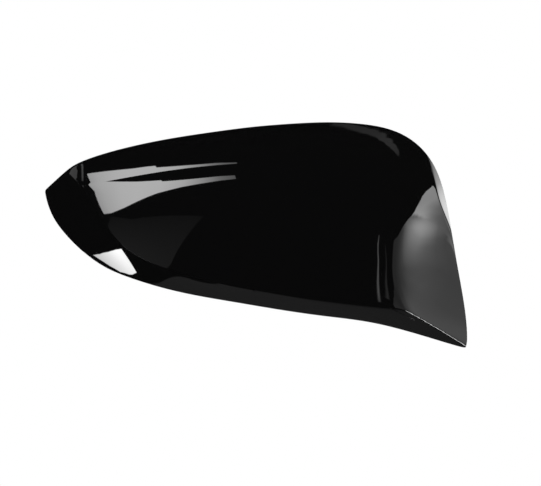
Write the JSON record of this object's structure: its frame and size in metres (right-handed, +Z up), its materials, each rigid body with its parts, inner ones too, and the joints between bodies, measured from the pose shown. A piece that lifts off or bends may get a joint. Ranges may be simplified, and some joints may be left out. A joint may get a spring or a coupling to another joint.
{
  "type": "wing mirror cover",
  "caption": "Gloss black wing mirror cover: a thin moulded shell that clips over the front of a door mirror housing.",
  "frame": {"origin": "centre of the seat of the main locating peg, where the peg meets its boss", "axes": "+X points outboard along the cover's length, +Y points back into the mirror housing along the locating pegs, +Z points up"},
  "size_m": [0.2509, 0.0742, 0.1236],
  "materials": {
    "cover": "high gloss black outside, plain moulded plastic inside"
  },
  "bodies": {
    "root": {"mirror_cover": "cover"}
  },
  "joints": []
}
